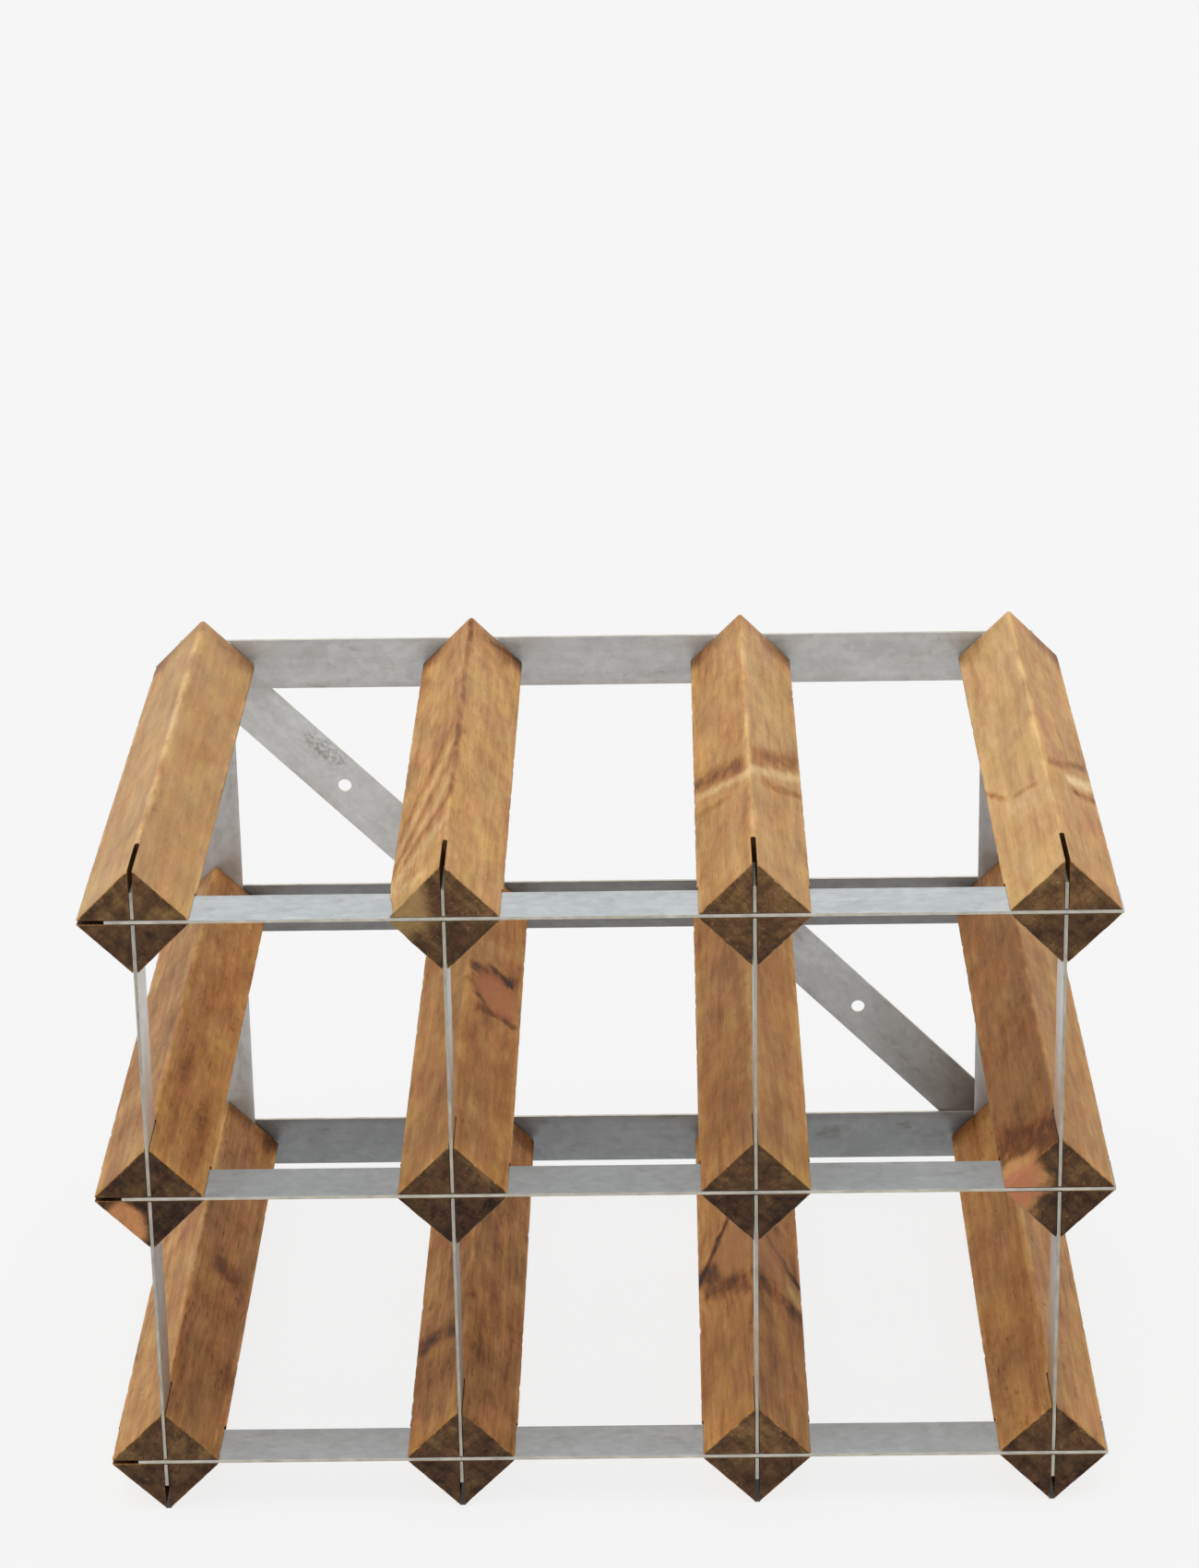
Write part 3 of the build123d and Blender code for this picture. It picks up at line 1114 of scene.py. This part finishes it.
def make_strip(node, seed, axes, finish, slots_at=(), slot_width=0.0, rear=False, holes_at=()):
    """Strip along the rack's own axes. slots_at and holes_at are places along it, in metres."""
    low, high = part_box(node)
    centre = box_centre(node)
    length_axis, width_axis = axes
    normal = length_axis.cross(width_axis)
    extent = high - low
    size = [abs(extent.dot(axis)) / MM for axis in (length_axis, width_axis, normal)]
    middle = centre.dot(length_axis)
    half_width = size[1] / 2
    lap = (-LAP_SLACK, half_width + 1) if rear else (-half_width - 1, LAP_SLACK)
    slot_middles = [(place - middle) / MM for place in slots_at]
    slots = [(x - slot_width / 2, x + slot_width / 2, *lap) for x in slot_middles]
    holes = [((place - middle) / MM, 0.0, NAIL_HOLE_RADIUS, NAIL_HOLE_RADIUS) for place in holes_at]
    mesh = plate_mesh(f"steel_{node}", size, seed, slots, holes)
    material = steel_material(f"galvanised_{node}", seed, finish)
    place_piece(f"steel_{node}", mesh, node, material, centre, (*axes, normal))


# The first number of each finish is painted on the zinc: light above 1, shade below 1
FINISHES = {
    "front_rail_top": Finish(0.92, metallic=0.2),
    "front_rail_middle": Finish(0.70, metallic=0.2),
    "front_rail_bottom": Finish(0.86, metallic=0.2),
    "back_rail_top": Finish(1.38),
    "back_rail_middle": Finish(0.58, grime=0.08),
    "back_rail_bottom": Finish(0.56, grime=0.08),
    "back_upright_1": Finish(1.4, facing=-1),
    "back_upright_4": Finish(1.1, facing=-1),
    "brace_upper": Finish(1.6, grime=0.06, pitted=(-14.0, 5.5, 12.0, 4.5)),
    "brace_lower": Finish(1.2, grime=0.12, painted_shade_far_end=0.62),
    "front_upright_1": Finish(2.0, facing=-1, edge=0.66, painted_timber_reflection=0.75, painted_foot_shade=0.5),
    "front_upright_2": Finish(1.6, facing=-1, edge=0.66, painted_timber_reflection=1.0, painted_foot_shade=0.55),
    "front_upright_3": Finish(1.5, edge=0.66, painted_timber_reflection=0.9),
    "front_upright_4": Finish(2.0, edge=0.66, painted_timber_reflection=0.7, painted_foot_shade=0.35),
}

# Where the random numbers of each kind of strip start
FRONT_RAIL_SEED = 1
BACK_RAIL_SEED = 11
FRONT_UPRIGHT_SEED = 21
BACK_UPRIGHT_SEED = 31
BRACE_SEED = 41


def make_steel():
    xs = column_places()
    zs = row_places()
    rail_cuts = {"slots_at": xs, "slot_width": RAIL_SLOT, "rear": True}
    upright_cuts = {"slots_at": zs, "slot_width": UPRIGHT_SLOT}
    rails = (
        ("front_rail", FRONT_RAIL_SEED, (X, Y), rail_cuts),
        ("back_rail", BACK_RAIL_SEED, (X, Z), {"holes_at": xs}),
    )
    uprights = (
        ("front_upright", FRONT_UPRIGHT_SEED, (Z, Y), upright_cuts),
        ("back_upright", BACK_UPRIGHT_SEED, (Z, X), {"holes_at": zs}),
    )
    for kinds, places in ((rails, ROWS), (uprights, COLUMNS)):
        for number, place in enumerate(places):
            for kind, first_seed, axes, cuts in kinds:
                node = f"{kind}_{place}"
                make_strip(node, first_seed + number, axes, FINISHES.get(node, Finish()), **cuts)
    make_braces((xs[1] - xs[0]) / MM)


def make_braces(pitch):
    """Diagonal strips, each down to the right from one post to the next along and below."""
    span = pitch * sqrt(2)
    along = Vector((1, 0, -1)).normalized()
    across = Vector((1, 0, 1)).normalized()
    normal = along.cross(across)
    for seed, (node, hole_offset) in enumerate(WALL_HOLE_OFFSETS.items(), start=BRACE_SEED):
        low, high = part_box(node)
        thickness = (high.y - low.y) / MM
        width = (high.x - low.x) / MM * sqrt(2) - span - 2 * BRACE_REACH
        size = (span + 2 * BRACE_REACH, width, thickness)
        sunk = SUNK_HEAD_RADIUS + SUNK_CLEARANCE
        holes = [(hole_offset, 0.0, WALL_HOLE_RADIUS, WALL_HOLE_RADIUS)]
        holes += [(end * span / 2, 0.0, NAIL_HOLE_RADIUS, sunk) for end in (-1, 1)]
        mesh = plate_mesh(f"steel_{node}", size, seed, holes=holes)
        material = steel_material(f"galvanised_{node}", seed, FINISHES[node])
        axes = (along, across, normal)
        place_piece(f"steel_{node}", mesh, node, material, box_centre(node), axes)


def nail_material(name):
    """Bright nail steel with a turned grain and dull spots."""
    material, graph, where = new_material(name)
    place = graph.scaled(where.outputs["Object"], 1 / MM)
    dull = graph.noise(place, (1.4, 1.4, 1.4), 3.0)
    marks = graph.signed(place, (0.3, 3.0, 0.3))
    grey = graph.ramp(dull + marks * 0.05, (0.3, srgb(122, 120, 116)), (0.7, srgb(178, 176, 172)))
    normal = graph.bump(marks * 0.3 + dull, 0.05, strength=0.6)
    graph.shader(grey, dull.line(0.3, 0.25), normal, **{"Metallic": 0.85})
    return material


NAIL_SEGMENTS = 36
HEAD_WOBBLE = 0.025  # how far a head is out of round, as a part of its radius


def make_nails(node, posts, profile):
    """Group of like nails, turned from a half profile of (radius, y) points."""
    mesh = bmesh.new()
    turns = [2 * pi * segment / NAIL_SEGMENTS for segment in range(NAIL_SEGMENTS)]
    for index, (row, column) in enumerate(posts):
        centre = box_centre(f"post_{row}_{column}") / MM
        rings = []
        for radius, y in profile:
            ring = []
            for angle in turns:
                unround = 1 + noise.noise(Vector((cos(angle) * 1.3, sin(angle) * 1.3, index * 2.7)))
                reach = radius * (1 - HEAD_WOBBLE * unround if radius > NAIL_RADIUS else 1)
                ring.append(mesh.verts.new((centre.x + reach * cos(angle), y, centre.z + reach * sin(angle))))
            rings.append(ring)
        for first, second in zip(rings, rings[1:]):
            for segment in range(NAIL_SEGMENTS):
                after = (segment + 1) % NAIL_SEGMENTS
                mesh.faces.new([first[segment], first[after], second[after], second[segment]])
        for ring, (_, y) in ((rings[0], profile[0]), (rings[-1], profile[-1])):
            tip = mesh.verts.new((centre.x, y, centre.z))
            for segment in range(NAIL_SEGMENTS):
                mesh.faces.new([ring[segment], ring[(segment + 1) % NAIL_SEGMENTS], tip])
    material = nail_material(f"{node}_steel")
    piece_mesh = to_mesh(f"steel_{node}", mesh, smooth_below=35)
    place_piece(f"steel_{node}", piece_mesh, node, material, Vector(), (X, Y, Z))


def make_all_nails():
    """Flat nails through the rails, with rings under their heads, and sunk ones through the braces."""
    plain = [(row, column) for row in ROWS for column in COLUMNS if (row, column) not in BRACED_POSTS]
    start, head_top = (corner.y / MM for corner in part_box("rail_nails"))
    head_base = head_top - FLAT_HEAD_THICKNESS
    point = [
        (0.25, start + 0.02),
        (NAIL_RADIUS * 0.75, start + NAIL_POINT * 0.7),
        (NAIL_RADIUS, start + NAIL_POINT),
    ]
    grips = []
    for ring in range(4):
        y = head_base - 3.0 - ring * 0.9
        grips = [(NAIL_RADIUS, y - 0.35), (NAIL_RADIUS - 0.12, y), (NAIL_RADIUS, y + 0.15)] + grips
    flat = [
        *point,
        *grips,
        (NAIL_RADIUS, head_base),
        (FLAT_HEAD_RADIUS - 0.2, head_base),
        (FLAT_HEAD_RADIUS, head_base + 0.15),
        (FLAT_HEAD_RADIUS, head_top - 0.45),
        (FLAT_HEAD_RADIUS - 0.15, head_top - 0.2),
        (FLAT_HEAD_RADIUS - 0.5, head_top - 0.1),
        (FLAT_HEAD_RADIUS - 1.2, head_top - 0.04),
        (FLAT_HEAD_RADIUS - 2.0, head_top),
    ]
    make_nails("rail_nails", plain, flat)
    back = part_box("brace_nails")[1].y / MM
    cone = SUNK_HEAD_RADIUS - NAIL_RADIUS
    sunk = [
        *point,
        (NAIL_RADIUS, back - cone - 3.0),
        (NAIL_RADIUS, back - cone),
        (SUNK_HEAD_RADIUS - 0.1, back - 0.1),
        (SUNK_HEAD_RADIUS - 0.25, back - 0.02),
        (SUNK_HEAD_RADIUS - 0.9, back - 0.02),
        (SUNK_HEAD_RADIUS - 1.1, back - 0.12),
    ]
    make_nails("brace_nails", BRACED_POSTS, sunk)


# ---------------------------------------------------------------------------------------------------------
# Studio
# ---------------------------------------------------------------------------------------------------------

WHITE = (1.0, 1.0, 1.0, 1.0)
FLOOR_SIDE = 60.0
FLOOR_ALBEDO = 0.07
FLOOR_GLOW = 0.826
BACKDROP = srgb(245, 245, 245)
SKY_LEVEL = 0.26  # how bright the world is below and in front
SKY_BEHIND = 0.50  # how much brighter it is behind
SKY_ABOVE = 0.35
KEY_STRENGTH = 1.9
KEY_SOFTNESS = 50  # degrees across
KEY_TURN = (10, -4, 0)
KEY_COLOUR = (1.0, 0.99, 0.97)
CAMERA_PLACE = Vector((22.8, -1279.1, 746.2)) * MM
CAMERA_TURN = (69.92, 0.75, 0.06)
CAMERA_LENS = 93.2
CAMERA_SHIFT = (-0.0294, -0.1176)


def floor_glow_with_painted_kerf_shadows(graph, place):
    """How much the floor glows at a place: next to none in the kerfs of the posts that stand on it, where a
    shadow is painted.
    """
    x, y, _ = graph.split(graph.scaled(place, 1 / MM))
    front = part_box("post_bottom_1")[0].y / MM
    half_kerf = KERF_WIDTH / 2
    in_kerf = 0.0
    for column_x in column_places():
        in_kerf = in_kerf + abs(x - column_x / MM).fade(half_kerf, half_kerf + 0.3)
    kerf_end = front + KERF_DEPTH
    in_kerf = in_kerf * y.step(front + 0.6, front + 1.2) * y.fade(kerf_end, kerf_end + 1.0)
    return in_kerf.line(-0.95, 1.0)


def make_floor():
    """Pale floor that glows, like a lit white sweep, so it takes next to no shadow; shadows are painted under
    the kerfs of the posts.
    """
    mesh = bmesh.new()
    bmesh.ops.create_grid(mesh, x_segments=8, y_segments=8, size=FLOOR_SIDE / 2)
    made = bpy.data.meshes.new("floor")
    mesh.to_mesh(made)
    mesh.free()
    floor = add_object("floor", made)
    material, graph, where = new_material("pale_floor")
    place = where.outputs["Object"]
    soft = graph.noise(place, (0.4, 0.4, 0.4))
    colour = graph.grey_ramp(soft, (0.0, FLOOR_ALBEDO), (1.0, FLOOR_ALBEDO + 0.004))
    surface = graph.shader(colour, 0.9, graph.bump(soft, 0.01), **{"Specular IOR Level": 0.05})
    surface.inputs["Emission Color"].default_value = WHITE
    graph.put(surface.inputs["Emission Strength"], floor_glow_with_painted_kerf_shadows(graph, place) * FLOOR_GLOW)
    made.materials.append(material)


def make_light():
    """Bright from above and behind, dimmer from the front, as on a lit white sweep."""
    world = bpy.data.worlds.new("studio")
    bpy.context.scene.world = world
    world.use_nodes = True
    graph = Graph(world.node_tree)
    _, backwards, upwards = graph.split(graph.node("ShaderNodeTexCoord").outputs["Generated"])
    level = SKY_LEVEL + backwards.step(-0.4, 0.8) * SKY_BEHIND + upwards.step(0.3, 1.0) * SKY_ABOVE
    light = graph.node("ShaderNodeBackground")
    light.inputs["Color"].default_value = WHITE
    graph.put(light.inputs["Strength"], level)
    seen = graph.node("ShaderNodeBackground")
    seen.inputs["Color"].default_value = BACKDROP
    choice = graph.node("ShaderNodeMixShader")
    camera_ray = graph.node("ShaderNodeLightPath").outputs["Is Camera Ray"]
    for socket, value in zip(choice.inputs, (camera_ray, light.outputs[0], seen.outputs[0])):
        graph.put(socket, value)
    output = graph.node("ShaderNodeOutputWorld")
    graph.put(output.inputs["Surface"], choice.outputs[0])

    key = bpy.data.lights.new("overhead_key", "SUN")
    key.energy = KEY_STRENGTH
    key.angle = radians(KEY_SOFTNESS)
    key.color = KEY_COLOUR
    lamp = add_object("overhead_key", key)
    lamp.rotation_euler = [radians(angle) for angle in KEY_TURN]


def make_camera():
    data = bpy.data.cameras.new("camera")
    data.sensor_width = 36.0
    data.lens = CAMERA_LENS
    data.shift_x, data.shift_y = CAMERA_SHIFT
    data.clip_start = 0.01
    camera = add_object("camera", data)
    camera.location = CAMERA_PLACE
    camera.rotation_euler = [radians(angle) for angle in CAMERA_TURN]
    bpy.context.scene.camera = camera


make_camera()
make_floor()
make_light()
make_posts()
make_steel()
make_all_nails()

bpy.context.scene.view_settings.view_transform = "Standard"
bpy.context.scene.view_settings.look = "None"
